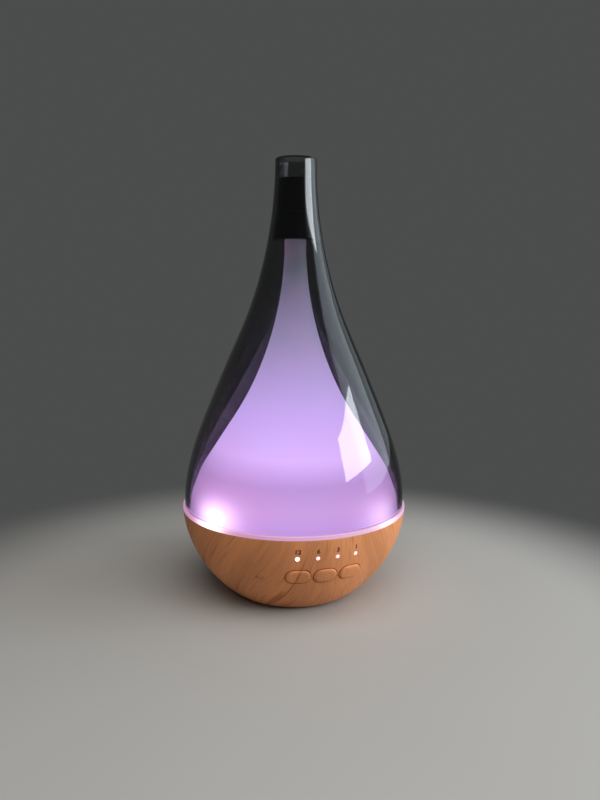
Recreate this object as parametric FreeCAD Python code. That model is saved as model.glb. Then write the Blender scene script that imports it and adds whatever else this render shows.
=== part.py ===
import FreeCAD, Part
import math
import os

# Ultrasonic essential oil diffuser: a wood-grain bowl with a water tank in its mouth, a frosted
# inner cover with a chimney, and a smoked glass teardrop over it. Millimetres, +Z up, origin under
# the middle of the feet, control panel towards -Y.

# --- driving dimensions ---------------------------------------------------------------------
RING_Z = 48.0            # top face of the tank's rim, where the bowl ends and the covers stand
RING_R = 60.0            # widest radius of the whole body
RIM_EDGE = 1.9           # height of the tank rim that shows above the bowl
COVER_TOP = 179.7        # height of the glass above the rim

BOWL_DEPTH = 58.9        # half height of the superellipse that the bowl is cut from
BOWL_POWER = 1.857       # its exponent: a little slimmer than a circle
BOWL_WALL = 2.2
FLOOR_Z = 1.2            # underside of the bowl, which stands on the feet
OPENING_R = 31.8         # service opening in the bowl's floor
LEDGE_R = 29.6           # inner edge of the ledge that the bottom cover is screwed against
LEDGE_TOP = 5.0

GLASS_WALL = 2.0
COVER_SEAT = 0.8         # depth of the recess in the tank's rim that the inner cover stands in
SEAT_R = 56.6            # its radius; the glass stands on the rim outside it
COVER_WALL = 1.5
COVER_FOOT_R = 56.3
CHIMNEY_R = 5.6
CHIMNEY_TOP = 164.0      # above the rim
NOZZLE_LOW = 139.0
NOZZLE_HIGH = 169.5
NOZZLE_GAP = 0.4         # between the nozzle and the glass around it

TANK_R = 42.5            # inside radius at the rim
TANK_LOW_R = 39.8        # inside radius at the floor
TANK_WALL = 1.8
TANK_FLOOR = 21.5        # upper face of the tank's floor
TANK_UNDER = 19.5        # lower face of the tank's floor
AIR_DUCT_Y = 31.5
AIR_DUCT_TOP = 47.2

DISC_R = 10.0
DISC_T = 1.2
DISC_LOW = 17.2
GASKET_LOW = 16.0
GASKET_R = 12.2
RETAINER_T = 1.2

FAN_Y = 9.0
FAN_SIZE = 30.0
FAN_LOW = 3.2
FAN_HIGH = 13.2
FAN_HOLES = 24.0         # spacing of the corner holes
FAN_BORE = 13.8
FAN_BLADES = 7

CASE_SCREWS = [(26.5, 0.0), (-26.5, 0.0), (0.0, -27.5)]
BOARD_SCREWS = [(16.5, -20.5), (-16.5, -20.5)]
FOOT_SPREAD = 19.0       # feet at plus and minus this in X and Y
FOOT_R = 4.2
FOOT_H = 1.8
FOOT_BEVEL = 0.4

PANEL_FACE = -45.4       # front face of the upright control board
PANEL_T = 1.2
BUTTON_Z = 26.3
BUTTON_W = 11.6
BUTTON_H = 7.6
BUTTON_PITCH = 13.1
BUTTON_PROUD = 0.9
BUTTON_GAP = 0.25
BUTTON_LIP = 0.6         # how far the inner lip is wider than the key
BUTTON_LIP_T = 1.0
BUTTON_EDGE = 0.35       # bevel of the key's front edge
SWITCH_H = 1.9
PLUNGER_TIP = -48.4
LIGHT_Z = 36.7
LIGHT_R = 0.95
LIGHT_X = [-14.6, -4.9, 4.9, 14.6]

LED_BOARD_Z = 40.2
LED_BOARD_T = 1.2
LED_RADIUS = 49.6
LED_ANGLES = [47.5 + 120.0 * step for step in range(3)]

JACK_Z = 12.9
JACK_FACE = 41.0         # front of the socket, at the bottom of its round pocket
JACK_POCKET_R = 5.3
JACK_BORE_R = 3.2
JACK_PIN_R = 1.05

# outside of the glass: (radius, height above the rim)
GLASS_LINE = [(59.0, 0.0), (58.7, 9.0), (56.9, 20.0), (52.3, 36.0), (45.3, 54.0), (35.1, 78.0),
              (24.7, 102.0), (17.2, 126.0), (12.6, 150.0), (10.9, 168.0), (10.6, COVER_TOP - 0.9)]

# outside of the inner cover, a trumpet that ends in the chimney
COVER_LINE = [(COVER_FOOT_R, -COVER_SEAT), (55.6, 5.0), (53.1, 12.0), (50.2, 19.0), (45.2, 27.0),
              (39.3, 36.0), (29.5, 51.0), (18.8, 72.0), (10.8, 96.0), (6.6, 119.0), (CHIMNEY_R, 132.0)]

Z_AXIS = FreeCAD.Vector(0, 0, 1)
Y_AXIS = FreeCAD.Vector(0, 1, 0)


# --- helpers --------------------------------------------------------------------------------
def vec(x, y, z):
    return FreeCAD.Vector(x, y, z)


def rod(radius, low, high, x=0.0, y=0.0):
    """Upright cylinder between two heights."""
    return Part.makeCylinder(radius, high - low, vec(x, y, low), Z_AXIS)


def pin(radius, start, end, x, z):
    """Cylinder along Y between two places."""
    return Part.makeCylinder(radius, end - start, vec(x, start, z), Y_AXIS)


def block(low, high):
    return Part.makeBox(high[0] - low[0], high[1] - low[1], high[2] - low[2], vec(*low))


def turn(edges):
    """Solid of revolution about Z of a closed outline in the XZ plane."""
    face = Part.Face(Part.Wire(edges))
    return face.revolve(vec(0, 0, 0), Z_AXIS, 360)


def ring_line(places):
    """Closed outline of straight edges; a place is (radius, height)."""
    ends = places[1:] + places[:1]
    return [Part.makeLine(vec(a[0], 0, a[1]), vec(b[0], 0, b[1])) for a, b in zip(places, ends)]


def outline(corners):
    """Edges of a closed outline; a corner is (radius, height) or (radius, height, fillet)."""
    starts = []
    ends = []
    arcs = []
    count = len(corners)
    for index, corner in enumerate(corners):
        here = vec(corner[0], 0, corner[1])
        fillet = corner[2] if len(corner) > 2 else 0.0
        before = corners[index - 1]
        after = corners[(index + 1) % count]
        back = (vec(before[0], 0, before[1]) - here).normalize()
        ahead = (vec(after[0], 0, after[1]) - here).normalize()
        if fillet == 0.0:
            starts.append(here)
            ends.append(here)
            arcs.append(None)
            continue
        half = back.getAngle(ahead) / 2
        reach = fillet / math.tan(half)
        middle = (back + ahead).normalize()
        top = here + middle * (fillet / math.sin(half) - fillet)
        starts.append(here + back * reach)
        ends.append(here + ahead * reach)
        arcs.append(Part.Arc(starts[-1], top, ends[-1]).toShape())
    edges = []
    for index in range(count):
        if arcs[index] is not None:
            edges.append(arcs[index])
        edges.append(Part.makeLine(ends[index], starts[(index + 1) % count]))
    return edges


def curve_through(line):
    """Smooth curve in the XZ plane through (radius, height above the rim) places."""
    curve = Part.BSplineCurve()
    curve.interpolate([vec(radius, 0, RING_Z + height) for radius, height in line])
    return curve


def inset_line(line, inset):
    """The same places moved towards the axis, square to the curve, with the foot kept level."""
    curve = curve_through(line)
    moved = []
    for radius, height in line:
        place = vec(radius, 0, RING_Z + height)
        along = curve.tangent(curve.parameter(place))[0]
        square = vec(-along.z, 0, along.x)
        if square.x > 0:
            square = square * -1
        place = place + square * inset
        moved.append((place.x, place.z - RING_Z))
    moved[0] = (moved[0][0], line[0][1])
    return moved


def capsule(width, height, x, z):
    """Upright key shape with round ends, as a long prism along Y through the front wall."""
    near, far = -70.0, -40.0
    end = height / 2
    reach = width / 2 - end
    middle = block((x - reach, near, z - end), (x + reach, far, z + end))
    left = pin(end, near, far, x - reach, z)
    right = pin(end, near, far, x + reach, z)
    return middle.fuse([left, right]).removeSplitter()


def bowl_radius(height, inset):
    """Radius of the bowl at a height; inset makes it smaller all round."""
    depth = abs(height - RING_Z) / (BOWL_DEPTH - inset)
    return (RING_R - inset) * (1 - depth ** BOWL_POWER) ** (1 / BOWL_POWER)


def bowl_edge(low, high, inset, places=9):
    """Curved side of the bowl between two heights."""
    step = (high - low) / (places - 1)
    heights = [low + step * index for index in range(places)]
    return curve_through([(bowl_radius(z, inset), z - RING_Z) for z in heights]).toShape()


def bowl_solid(inset):
    """Solid inside of the bowl, a little past its floor and up to its mouth."""
    low, high = FLOOR_Z + 4.0, RING_Z - RIM_EDGE
    side = bowl_edge(low, high, inset)
    top = bowl_radius(high, inset)
    foot = bowl_radius(low, inset)
    edges = [side,
             Part.makeLine(vec(top, 0, high), vec(0, 0, high)),
             Part.makeLine(vec(0, 0, high), vec(0, 0, low)),
             Part.makeLine(vec(0, 0, low), vec(foot, 0, low))]
    return turn(edges)


def polar(radius, degrees):
    """Place at an angle from the front, positive towards +X."""
    angle = math.radians(degrees)
    return radius * math.sin(angle), -radius * math.cos(angle)


# --- covers ---------------------------------------------------------------------------------
def glass_cavity(inset):
    """Solid that fills the glass, smaller by inset."""
    line = inset_line(GLASS_LINE, GLASS_WALL + inset)
    low, high = line[0], line[-1]
    edges = [curve_through(line).toShape(),
             Part.makeLine(vec(high[0], 0, RING_Z + high[1]), vec(0, 0, RING_Z + high[1])),
             Part.makeLine(vec(0, 0, RING_Z + high[1]), vec(0, 0, RING_Z + low[1])),
             Part.makeLine(vec(0, 0, RING_Z + low[1]), vec(low[0], 0, RING_Z + low[1]))]
    return turn(edges)


def glass_cover():
    inner = inset_line(GLASS_LINE, GLASS_WALL)
    out_top, in_top = GLASS_LINE[-1], inner[-1]
    out_low, in_low = GLASS_LINE[0], inner[0]
    lip = Part.Arc(vec(out_top[0], 0, RING_Z + out_top[1]),
                   vec((out_top[0] + in_top[0]) / 2, 0, RING_Z + COVER_TOP),
                   vec(in_top[0], 0, RING_Z + in_top[1])).toShape()
    foot = Part.makeLine(vec(in_low[0], 0, RING_Z + in_low[1]), vec(out_low[0], 0, RING_Z + out_low[1]))
    return turn([curve_through(GLASS_LINE).toShape(), lip, curve_through(inner).toShape(), foot])


def inner_cover():
    inner = inset_line(COVER_LINE, COVER_WALL)
    foot = RING_Z - COVER_SEAT
    top = RING_Z + CHIMNEY_TOP
    out_neck, in_neck = COVER_LINE[-1], inner[-1]
    bore = in_neck[0]
    edges = [curve_through(COVER_LINE).toShape(),
             Part.makeLine(vec(CHIMNEY_R, 0, RING_Z + out_neck[1]), vec(CHIMNEY_R, 0, top)),
             Part.makeLine(vec(CHIMNEY_R, 0, top), vec(bore, 0, top)),
             Part.makeLine(vec(bore, 0, top), vec(bore, 0, RING_Z + in_neck[1])),
             curve_through(inner).toShape(),
             Part.makeLine(vec(inner[0][0], 0, foot), vec(COVER_FOOT_R, 0, foot))]
    return turn(edges)


def mist_nozzle():
    low, high = RING_Z + NOZZLE_LOW, RING_Z + NOZZLE_HIGH
    chimney = RING_Z + CHIMNEY_TOP
    body = glass_cavity(NOZZLE_GAP).common(rod(20.0, low, high))
    socket = rod(CHIMNEY_R + 0.05, low - 1, chimney)
    bore = rod(CHIMNEY_R - COVER_WALL, chimney - 1, high + 1)
    flare = Part.makeCone(CHIMNEY_R - COVER_WALL, CHIMNEY_R + 1.0, 2.5, vec(0, 0, high - 2.5))
    return body.cut([socket, bore, flare])


# --- tank and mist maker --------------------------------------------------------------------
def oval(width, depth, low, high, y):
    """Upright prism with round ends, long in X."""
    end = depth / 2
    reach = width / 2 - end
    middle = block((-reach, y - end, low), (reach, y + end, high))
    left = rod(end, low, high, -reach, y)
    right = rod(end, low, high, reach, y)
    return middle.fuse([left, right]).removeSplitter()


def water_tank():
    rim_under = RING_Z - RIM_EDGE
    seat_top = RING_Z - COVER_SEAT
    seat_under = seat_top - TANK_WALL
    skirt_out = bowl_radius(rim_under, BOWL_WALL) - 0.4
    skirt_in = skirt_out - 1.4
    skirt_low = rim_under - 2.6
    wall_out = TANK_R + TANK_WALL
    corners = [(DISC_R - 1.5, TANK_FLOOR), (TANK_LOW_R, TANK_FLOOR, 5.0), (TANK_R, seat_top, 1.0),
               (SEAT_R, seat_top), (SEAT_R, RING_Z), (RING_R - 0.25, RING_Z), (RING_R, RING_Z - 0.25),
               (RING_R, rim_under), (skirt_out, rim_under), (skirt_out, skirt_low), (skirt_in, skirt_low),
               (skirt_in, seat_under), (wall_out, seat_under),
               (TANK_LOW_R + TANK_WALL, TANK_UNDER, 6.0), (DISC_R - 1.5, TANK_UNDER)]
    tank = turn(outline(corners))
    collar = rod(GASKET_R + 2.0, GASKET_LOW, TANK_UNDER).cut(rod(GASKET_R, GASKET_LOW, TANK_UNDER))
    bosses = [rod(2.6, GASKET_LOW, TANK_UNDER, *polar(16.4, angle)) for angle in (0, 120, 240)]
    pillars = [rod(3.2, LEDGE_TOP, TANK_UNDER, *place) for place in CASE_SCREWS]
    posts = [rod(2.3, 9.6, TANK_UNDER, *place) for place in BOARD_SCREWS]
    pegs = [rod(1.5, LED_BOARD_Z + LED_BOARD_T, seat_under, *polar(51.5, angle - 60)) for angle in LED_ANGLES]
    tips = [rod(0.9, LED_BOARD_Z - 0.8, seat_under, *polar(51.5, angle - 60)) for angle in LED_ANGLES]
    duct = oval(17.0, 9.6, TANK_UNDER, AIR_DUCT_TOP, AIR_DUCT_Y)
    tank = tank.fuse([collar, duct] + bosses + pillars + posts + pegs + tips)
    holes = [oval(14.0, 6.6, TANK_UNDER - 1, AIR_DUCT_TOP + 1, AIR_DUCT_Y)]
    holes += [rod(1.4, LEDGE_TOP - 1, 15.0, *place) for place in CASE_SCREWS]
    holes += [rod(0.9, 8.0, 15.0, *place) for place in BOARD_SCREWS]
    holes += [rod(1.05, GASKET_LOW - 1, 19.0, *polar(16.4, angle)) for angle in (0, 120, 240)]
    return tank.cut(holes).removeSplitter()


def disc_gasket():
    low, high = GASKET_LOW, TANK_UNDER
    mouth = DISC_R - 1.3
    groove = DISC_R + 0.02
    return turn(ring_line([(mouth, low), (GASKET_R - 0.05, low), (GASKET_R - 0.05, high), (mouth, high),
                           (mouth, DISC_LOW + DISC_T), (groove, DISC_LOW + DISC_T), (groove, DISC_LOW),
                           (mouth, DISC_LOW)]))


def ultrasonic_disc():
    return rod(DISC_R, DISC_LOW, DISC_LOW + DISC_T)


def disc_retainer():
    low, high = GASKET_LOW - RETAINER_T, GASKET_LOW
    plate = rod(14.2, low, high).fuse([rod(2.6, low, high, *polar(16.4, angle)) for angle in (0, 120, 240)])
    holes = [rod(7.4, low - 1, high + 1)]
    holes += [rod(1.3, low - 1, high + 1, *polar(16.4, angle)) for angle in (0, 120, 240)]
    return plate.cut(holes).removeSplitter()


def screw(head_r, head_t, shank_r, head_low, tip, x, y):
    """Pan head screw that points up."""
    head = rod(head_r, head_low, head_low + head_t, x, y)
    shank = rod(shank_r, head_low + head_t, tip, x, y)
    slot = block((x - 0.3, y - head_r * 0.7, head_low - 0.1), (x + 0.3, y + head_r * 0.7, head_low + 0.4))
    cross = block((x - head_r * 0.7, y - 0.3, head_low - 0.1), (x + head_r * 0.7, y + 0.3, head_low + 0.4))
    return head.fuse(shank).cut([slot, cross])


def retainer_screws():
    low = GASKET_LOW - RETAINER_T - 1.2
    places = [polar(16.4, angle) for angle in (0, 120, 240)]
    return Part.makeCompound([screw(2.0, 1.2, 1.0, low, 18.6, *place) for place in places])


# --- bowl, bottom cover and feet ------------------------------------------------------------
def base_shell():
    mouth = RING_Z - RIM_EDGE
    outside = bowl_edge(FLOOR_Z, mouth, 0.0, 11)
    inside = bowl_edge(LEDGE_TOP, mouth, BOWL_WALL)
    places = [(bowl_radius(FLOOR_Z, 0.0), FLOOR_Z), (OPENING_R, FLOOR_Z), (OPENING_R, FLOOR_Z + 2.0),
              (LEDGE_R, FLOOR_Z + 2.0), (LEDGE_R, LEDGE_TOP), (bowl_radius(LEDGE_TOP, BOWL_WALL), LEDGE_TOP)]
    floor = [Part.makeLine(vec(a[0], 0, a[1]), vec(b[0], 0, b[1])) for a, b in zip(places, places[1:])]
    rim = Part.makeLine(vec(bowl_radius(mouth, 0.0), 0, mouth), vec(bowl_radius(mouth, BOWL_WALL), 0, mouth))
    shell = turn([outside] + floor + [inside, rim])

    lugs = []
    for x, y in CASE_SCREWS:
        lug = rod(4.2, FLOOR_Z + 2.0, LEDGE_TOP, x, y)
        lugs.append(lug.common(rod(LEDGE_R + 0.5, 0, RING_Z)))
    pocket = pin(JACK_POCKET_R + 1.2, JACK_FACE - 4.0, 60.0, 0, JACK_Z).common(bowl_solid(0.5))
    shell = shell.fuse(lugs + [pocket])

    cuts = [rod(1.6, FLOOR_Z, LEDGE_TOP + 1, *place) for place in CASE_SCREWS]
    cuts.append(pin(JACK_POCKET_R, JACK_FACE - 8.0, 70.0, 0, JACK_Z))
    for index in (-1, 0, 1):
        cuts.append(capsule(BUTTON_W + 2 * BUTTON_GAP, BUTTON_H + 2 * BUTTON_GAP,
                            index * BUTTON_PITCH, BUTTON_Z))
    cuts += [pin(LIGHT_R + 0.1, -70.0, -40.0, x, LIGHT_Z) for x in LIGHT_X]
    return shell.cut(cuts)


def bottom_cover():
    low, high = FLOOR_Z, FLOOR_Z + 2.0
    plate = rod(OPENING_R - 0.3, low, high)
    pegs = [rod(1.45, high, FAN_HIGH, x, FAN_Y + y) for x, y in fan_corners()]
    cuts = [rod(1.6, low - 1, high + 1, *place) for place in CASE_SCREWS]
    cuts += [rod(3.1, low - 1, low + 1.2, *place) for place in CASE_SCREWS]
    cuts += [rod(FOOT_R + 0.1, low - 1, low + 0.6, *place) for place in foot_places()]
    bridges = Part.makeCompound([block((-14, FAN_Y - 1.1, low - 1), (14, FAN_Y + 1.1, high + 1)),
                                 block((-1.1, FAN_Y - 14, low - 1), (1.1, FAN_Y + 14, high + 1))])
    for radius in (4.4, 8.2, 12.0):
        ring = rod(radius + 0.95, low - 1, high + 1, 0, FAN_Y)
        ring = ring.cut(rod(radius - 0.95, low - 1, high + 1, 0, FAN_Y))
        cuts.append(ring.cut(bridges))
    return plate.fuse(pegs).cut(cuts)


def foot_places():
    return [(x, y) for x in (-FOOT_SPREAD, FOOT_SPREAD) for y in (-FOOT_SPREAD, FOOT_SPREAD)]


def rubber_foot(x, y):
    pad = rod(FOOT_R, FOOT_BEVEL, FOOT_H, x, y)
    return pad.fuse(Part.makeCone(FOOT_R - FOOT_BEVEL, FOOT_R, FOOT_BEVEL, vec(x, y, 0)))


def case_screws():
    return Part.makeCompound([screw(2.8, 1.0, 1.35, FLOOR_Z + 0.2, 14.0, x, y) for x, y in CASE_SCREWS])


# --- fan ------------------------------------------------------------------------------------
def fan_corners():
    half = FAN_HOLES / 2
    return [(x, y) for x in (-half, half) for y in (-half, half)]


def fan_frame():
    half = FAN_SIZE / 2
    frame = block((-half, FAN_Y - half, FAN_LOW), (half, FAN_Y + half, FAN_HIGH))
    frame = frame.makeFillet(2.5, [edge for edge in frame.Edges if abs(edge.tangentAt(0).z) > 0.9])
    frame = frame.cut(rod(FAN_BORE, FAN_LOW, FAN_HIGH, 0, FAN_Y))
    plate = rod(6.6, FAN_LOW, FAN_LOW + 1.2, 0, FAN_Y)
    bush = rod(2.0, FAN_LOW + 1.2, FAN_HIGH - 3.0, 0, FAN_Y)
    arms = []
    for angle in (45, 165, 285):
        arm = block((0, -1.0, FAN_LOW), (FAN_BORE + 0.4, 1.0, FAN_LOW + 1.2))
        arm.rotate(vec(0, 0, 0), Z_AXIS, angle)
        arm.translate(vec(0, FAN_Y, 0))
        arms.append(arm)
    frame = frame.fuse([plate, bush] + arms)
    holes = [rod(1.6, FAN_LOW - 1, FAN_HIGH + 1, x, FAN_Y + y) for x, y in fan_corners()]
    holes.append(rod(1.05, FAN_LOW + 0.6, FAN_HIGH, 0, FAN_Y))
    return frame.cut(holes)


def blade_section(radius, pitch, chord):
    """Cambered blade section at a radius, as a wire square to the radius."""
    thick = 0.45
    slope = math.radians(pitch)
    along = vec(0, math.cos(slope), math.sin(slope))
    across = vec(0, -math.sin(slope), math.cos(slope))
    middle = vec(radius, 0, 0)
    crown = across * (0.09 * chord)
    nose = middle - along * (chord / 2)
    tail = middle + along * (chord / 2)
    upper = Part.Arc(nose + across * thick, middle + crown + across * thick, tail + across * thick)
    lower = Part.Arc(tail - across * thick, middle + crown - across * thick, nose - across * thick)
    ends = [Part.makeLine(tail + across * thick, tail - across * thick),
            Part.makeLine(nose - across * thick, nose + across * thick)]
    return Part.Wire([upper.toShape(), ends[0], lower.toShape(), ends[1]])


def fan_rotor():
    low, high = FAN_LOW + 1.7, FAN_HIGH - 0.8
    cup = rod(6.8, low, high).cut(rod(6.1, low - 1, high - 0.9))
    shaft = rod(1.0, FAN_LOW + 1.0, high - 0.5)
    wires = [blade_section(6.4, 48, 6.2), blade_section(10.0, 38, 8.2), blade_section(14.0, 30, 9.6)]
    blade = Part.makeLoft(wires, True, False)
    blade.translate(vec(0, 0, (low + high) / 2))
    sweep = rod(FAN_BORE - 0.6, low, high - 0.3).cut(rod(6.5, low - 1, high + 1))
    blade = blade.common(sweep)
    blades = []
    for index in range(FAN_BLADES):
        copy = blade.copy()
        copy.rotate(vec(0, 0, 0), Z_AXIS, index * 360 / FAN_BLADES)
        blades.append(copy)
    rotor = cup.fuse([shaft] + blades)
    rotor.translate(vec(0, FAN_Y, 0))
    return rotor


def fan_stator():
    low, high = FAN_LOW + 1.8, FAN_HIGH - 3.6
    core = rod(3.2, low, high)
    arms = [block((-5.2, -1.2, low), (5.2, 1.2, high)), block((-1.2, -5.2, low), (1.2, 5.2, high))]
    shoes = rod(5.7, low, high).cut(rod(4.7, low - 1, high + 1))
    gaps = []
    for angle in (45, 135):
        gap = block((-6, -0.9, low - 1), (6, 0.9, high + 1))
        gap.rotate(vec(0, 0, 0), Z_AXIS, angle)
        gaps.append(gap)
    stator = core.fuse(arms + [shoes.cut(gaps)]).cut(rod(2.05, low - 1, high + 1))
    stator.translate(vec(0, FAN_Y, 0))
    return stator


# --- boards, socket and panel ---------------------------------------------------------------
def main_board():
    board = block((-20, -24, 8.0), (20, -9, 9.6))
    return board.cut([rod(1.2, 7, 11, *place) for place in BOARD_SCREWS])


def board_screws():
    return Part.makeCompound([screw(2.0, 1.0, 0.85, 7.0, 14.0, x, y) for x, y in BOARD_SCREWS])


def board_parts():
    top = 9.6
    coil = rod(3.0, top, top + 3.4, -8.0, -19.5)
    coil = coil.cut(rod(3.1, top + 0.8, top + 2.6, -8.0, -19.5).cut(rod(2.2, top, top + 3, -8.0, -19.5)))
    return Part.makeCompound([
        coil,
        rod(2.5, top, top + 5.0, 9.5, -20.5),
        block((-3.0, -22.0, top), (3.0, -18.0, top + 1.4)),
        block((-17.5, -14.5, top), (-10.0, -10.0, top + 3.2)),
        block((-5.0, -14.5, top), (2.5, -10.0, top + 3.2)),
        block((8.0, -15.0, top), (16.0, -10.5, top + 2.2))])


def dc_jack():
    body = block((-4.5, 29.0, JACK_Z - 5.0), (4.5, JACK_FACE - 4.0, JACK_Z + 5.0))
    collar = pin(JACK_POCKET_R - 0.15, JACK_FACE - 4.0, JACK_FACE, 0, JACK_Z)
    bore = pin(JACK_BORE_R, JACK_FACE - 9.5, JACK_FACE + 1, 0, JACK_Z)
    return body.fuse(collar).cut(bore)


def jack_pin():
    shank = pin(JACK_PIN_R, JACK_FACE - 9.5, JACK_FACE - 1.2, 0, JACK_Z)
    nose = Part.makeCone(JACK_PIN_R, JACK_PIN_R - 0.4, 0.4, vec(0, JACK_FACE - 1.2, JACK_Z), Y_AXIS)
    return shank.fuse(nose)


def led_ring_board():
    low, high = LED_BOARD_Z, LED_BOARD_Z + LED_BOARD_T
    board = rod(53.5, low, high).cut(rod(46.6, low - 1, high + 1))
    holes = [rod(1.0, low - 1, high + 1, *polar(51.5, angle - 60)) for angle in LED_ANGLES]
    return board.cut(holes)


def ring_led(angle):
    """Square colour LED package with a round window."""
    low = LED_BOARD_Z + LED_BOARD_T
    package = block((-2.5, -LED_RADIUS - 2.5, low), (2.5, -LED_RADIUS + 2.5, low + 1.6))
    package = package.cut(rod(2.0, low + 1.2, low + 2, 0, -LED_RADIUS))
    package.rotate(vec(0, 0, 0), Z_AXIS, angle)
    return package


def control_board():
    return block((-16.5, PANEL_FACE, 23.2), (16.5, PANEL_FACE + PANEL_T, 39.5))


def indicator_leds():
    front = PANEL_FACE
    return Part.makeCompound([block((x - 0.8, front - 0.7, LIGHT_Z - 0.4), (x + 0.8, front, LIGHT_Z + 0.4))
                              for x in LIGHT_X])


def light_pipe(x):
    """Clear pin that carries an indicator's light through the bowl's wall."""
    return pin(LIGHT_R, -70.0, PANEL_FACE - 1.0, x, LIGHT_Z).common(bowl_solid(-0.3))


def switch_body(x):
    front = PANEL_FACE - SWITCH_H
    body = block((x - 3, front, BUTTON_Z - 3), (x + 3, PANEL_FACE, BUTTON_Z + 3))
    return body.cut(pin(1.6, front - 1, PANEL_FACE - 0.3, x, BUTTON_Z))


def switch_plunger(x):
    return pin(1.5, PLUNGER_TIP, PANEL_FACE - 1.0, x, BUTTON_Z)


def button(x):
    """Key cap that follows the bowl, with a lip behind the wall and a stem onto its switch."""
    back = BOWL_WALL + 0.3 + BUTTON_LIP_T
    cap = capsule(BUTTON_W, BUTTON_H, x, BUTTON_Z).common(bowl_solid(-BUTTON_PROUD))
    front = [edge for edge in cap.Edges if edge.BoundBox.YMax < -45.0 and edge.BoundBox.YMin < -52.0
             and edge.BoundBox.YLength < 8.0]
    cap = cap.makeChamfer(BUTTON_EDGE, front)
    lip = capsule(BUTTON_W + 2 * BUTTON_LIP, BUTTON_H + 2 * BUTTON_LIP, x, BUTTON_Z)
    lip = lip.common(bowl_solid(BOWL_WALL + 0.3))
    stem = pin(1.8, -54.0, PLUNGER_TIP, x, BUTTON_Z).common(bowl_solid(BOWL_WALL + 0.3))
    behind = block((x - BUTTON_W, PLUNGER_TIP, 0), (x + BUTTON_W, 0, RING_Z))
    key = cap.fuse(lip).cut([bowl_solid(back), behind])
    return key.fuse(stem).removeSplitter()


# --- build ----------------------------------------------------------------------------------
def all_parts():
    parts = {
        "glass_cover": glass_cover(),
        "inner_cover": inner_cover(),
        "mist_nozzle": mist_nozzle(),
        "water_tank": water_tank(),
        "disc_gasket": disc_gasket(),
        "ultrasonic_disc": ultrasonic_disc(),
        "disc_retainer": disc_retainer(),
        "retainer_screws": retainer_screws(),
        "base_shell": base_shell(),
        "bottom_cover": bottom_cover(),
        "case_screws": case_screws(),
        "fan_frame": fan_frame(),
        "fan_stator": fan_stator(),
        "fan_rotor": fan_rotor(),
        "main_board": main_board(),
        "board_parts": board_parts(),
        "board_screws": board_screws(),
        "dc_jack": dc_jack(),
        "jack_pin": jack_pin(),
        "led_ring_board": led_ring_board(),
        "control_board": control_board(),
        "indicator_leds": indicator_leds(),
    }
    for index, place in enumerate(foot_places(), 1):
        parts[f"rubber_foot_{index}"] = rubber_foot(*place)
    for index, angle in enumerate(LED_ANGLES, 1):
        parts[f"ring_led_{index}"] = ring_led(angle)
    for index, x in enumerate(LIGHT_X, 1):
        parts[f"light_pipe_{index}"] = light_pipe(x)
    for index in (1, 2, 3):
        x = (index - 2) * BUTTON_PITCH
        parts[f"button_{index}"] = button(x)
        parts[f"switch_body_{index}"] = switch_body(x)
        parts[f"switch_plunger_{index}"] = switch_plunger(x)
    return parts


os.makedirs("parts", exist_ok=True)
for name, shape in all_parts().items():
    print(name, len(shape.Solids), "solids, valid", shape.isValid(), round(shape.Volume, 1))
    shape.exportStep(f"parts/{name}.step")
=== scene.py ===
import math

import bmesh
import bpy
from bpy.props import FloatProperty, FloatVectorProperty, PointerProperty
from mathutils import Matrix, Vector
from mathutils.geometry import interpolate_bezier


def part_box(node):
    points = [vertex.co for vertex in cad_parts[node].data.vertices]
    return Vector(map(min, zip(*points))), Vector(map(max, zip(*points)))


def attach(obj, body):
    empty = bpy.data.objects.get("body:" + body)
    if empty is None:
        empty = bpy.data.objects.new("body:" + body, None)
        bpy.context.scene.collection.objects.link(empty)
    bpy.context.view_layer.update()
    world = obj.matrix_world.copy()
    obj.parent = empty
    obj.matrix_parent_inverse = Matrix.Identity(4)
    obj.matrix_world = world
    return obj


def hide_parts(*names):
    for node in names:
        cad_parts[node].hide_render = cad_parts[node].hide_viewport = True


bl_info = {
    "name": "Teardrop Glass Diffuser",
    "version": (1, 0, 0),
    "blender": (4, 5, 0),
    "location": "3D View > Sidebar > Diffuser",
    "description": "Builds the pieces and finishes of an ultrasonic diffuser with a smoked glass cover",
    "category": "Object",
}

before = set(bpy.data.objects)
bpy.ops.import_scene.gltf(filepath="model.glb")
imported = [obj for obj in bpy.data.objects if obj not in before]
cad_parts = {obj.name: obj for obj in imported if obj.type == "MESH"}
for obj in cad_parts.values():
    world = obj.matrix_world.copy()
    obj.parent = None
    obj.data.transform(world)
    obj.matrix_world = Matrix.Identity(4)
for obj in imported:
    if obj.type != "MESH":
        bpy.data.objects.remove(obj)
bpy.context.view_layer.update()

MM = 0.001
ROUND_STEPS = 192  # faces round every large turned piece
CORE_STEPS = 128  # faces round the cores that trim what is in the bowl
BEYOND = 70 * MM  # a distance from the axis that is clear of the bowl
RIM_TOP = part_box("water_tank")[1].z
RIM_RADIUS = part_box("water_tank")[1].x
BOWL_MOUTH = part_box("base_shell")[1].z
BOWL_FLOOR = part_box("base_shell")[0].z
GLASS_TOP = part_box("glass_cover")[1].z
COVER_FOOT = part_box("inner_cover")[0].z
CHIMNEY_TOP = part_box("inner_cover")[1].z
NOZZLE_LOW, NOZZLE_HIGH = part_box("mist_nozzle")[0].z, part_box("mist_nozzle")[1].z
NOZZLE_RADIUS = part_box("mist_nozzle")[1].x
GLASS_PROFILE = (  # outside radius and height above the rim, in millimetres
    (59.0, 0.0), (58.7, 9.0), (56.9, 20.0), (52.3, 36.0), (45.3, 54.0), (35.1, 78.0),
    (24.7, 102.0), (17.2, 126.0), (12.6, 150.0), (10.9, 168.0))
GLASS_NECK = 10.6 * MM  # outside radius at the neck's top
GLASS_DENSITY = 950.0  # absorption per metre, for a wall about 2 mm thick
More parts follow.
